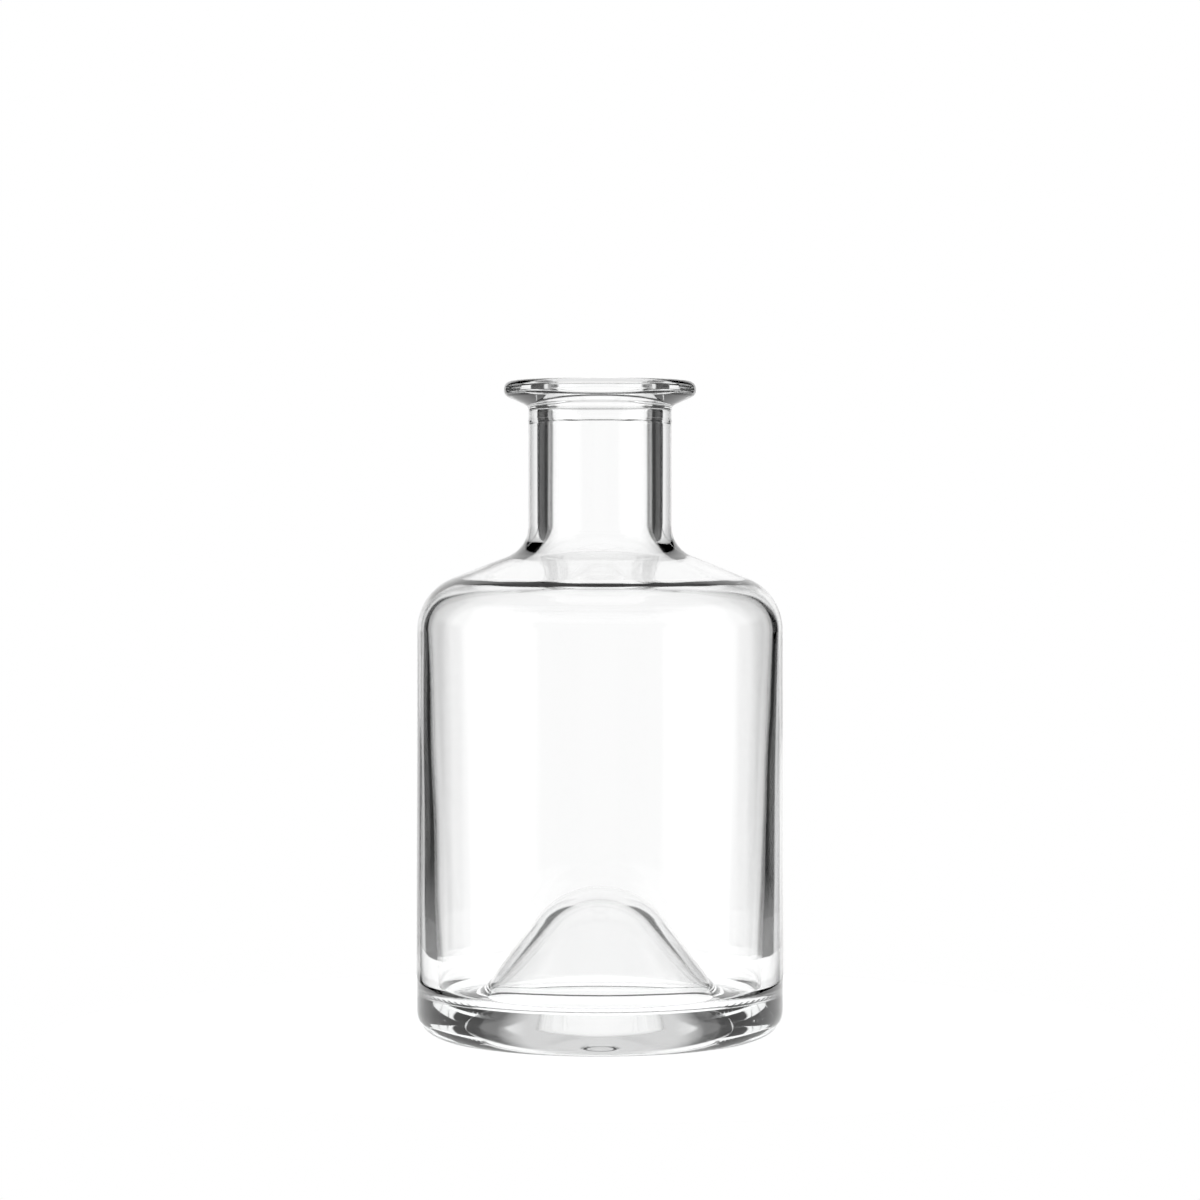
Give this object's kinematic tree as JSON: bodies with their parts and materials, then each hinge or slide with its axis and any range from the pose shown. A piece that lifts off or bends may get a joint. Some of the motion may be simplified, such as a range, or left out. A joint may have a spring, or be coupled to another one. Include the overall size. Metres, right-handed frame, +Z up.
{
  "type": "glass bottle",
  "caption": "Clear glass dispensing bottle: round body, low sloping shoulder, short neck with a flat flanged lip for a cork, thick base with a tall punt.",
  "frame": {"origin": "on the bottle's axis, in the plane of the ring that it stands on", "axes": "+Z up along the bottle's axis, from the base to the lip; X and Y are any two level directions, because the glass is turned about Z"},
  "size_m": [0.0662, 0.0662, 0.118],
  "materials": {
    "glass": "clear colourless glass, fire-polished outside and in, faintly uneven inner wall"
  },
  "bodies": {
    "root": {"bottle": "glass"}
  },
  "joints": []
}
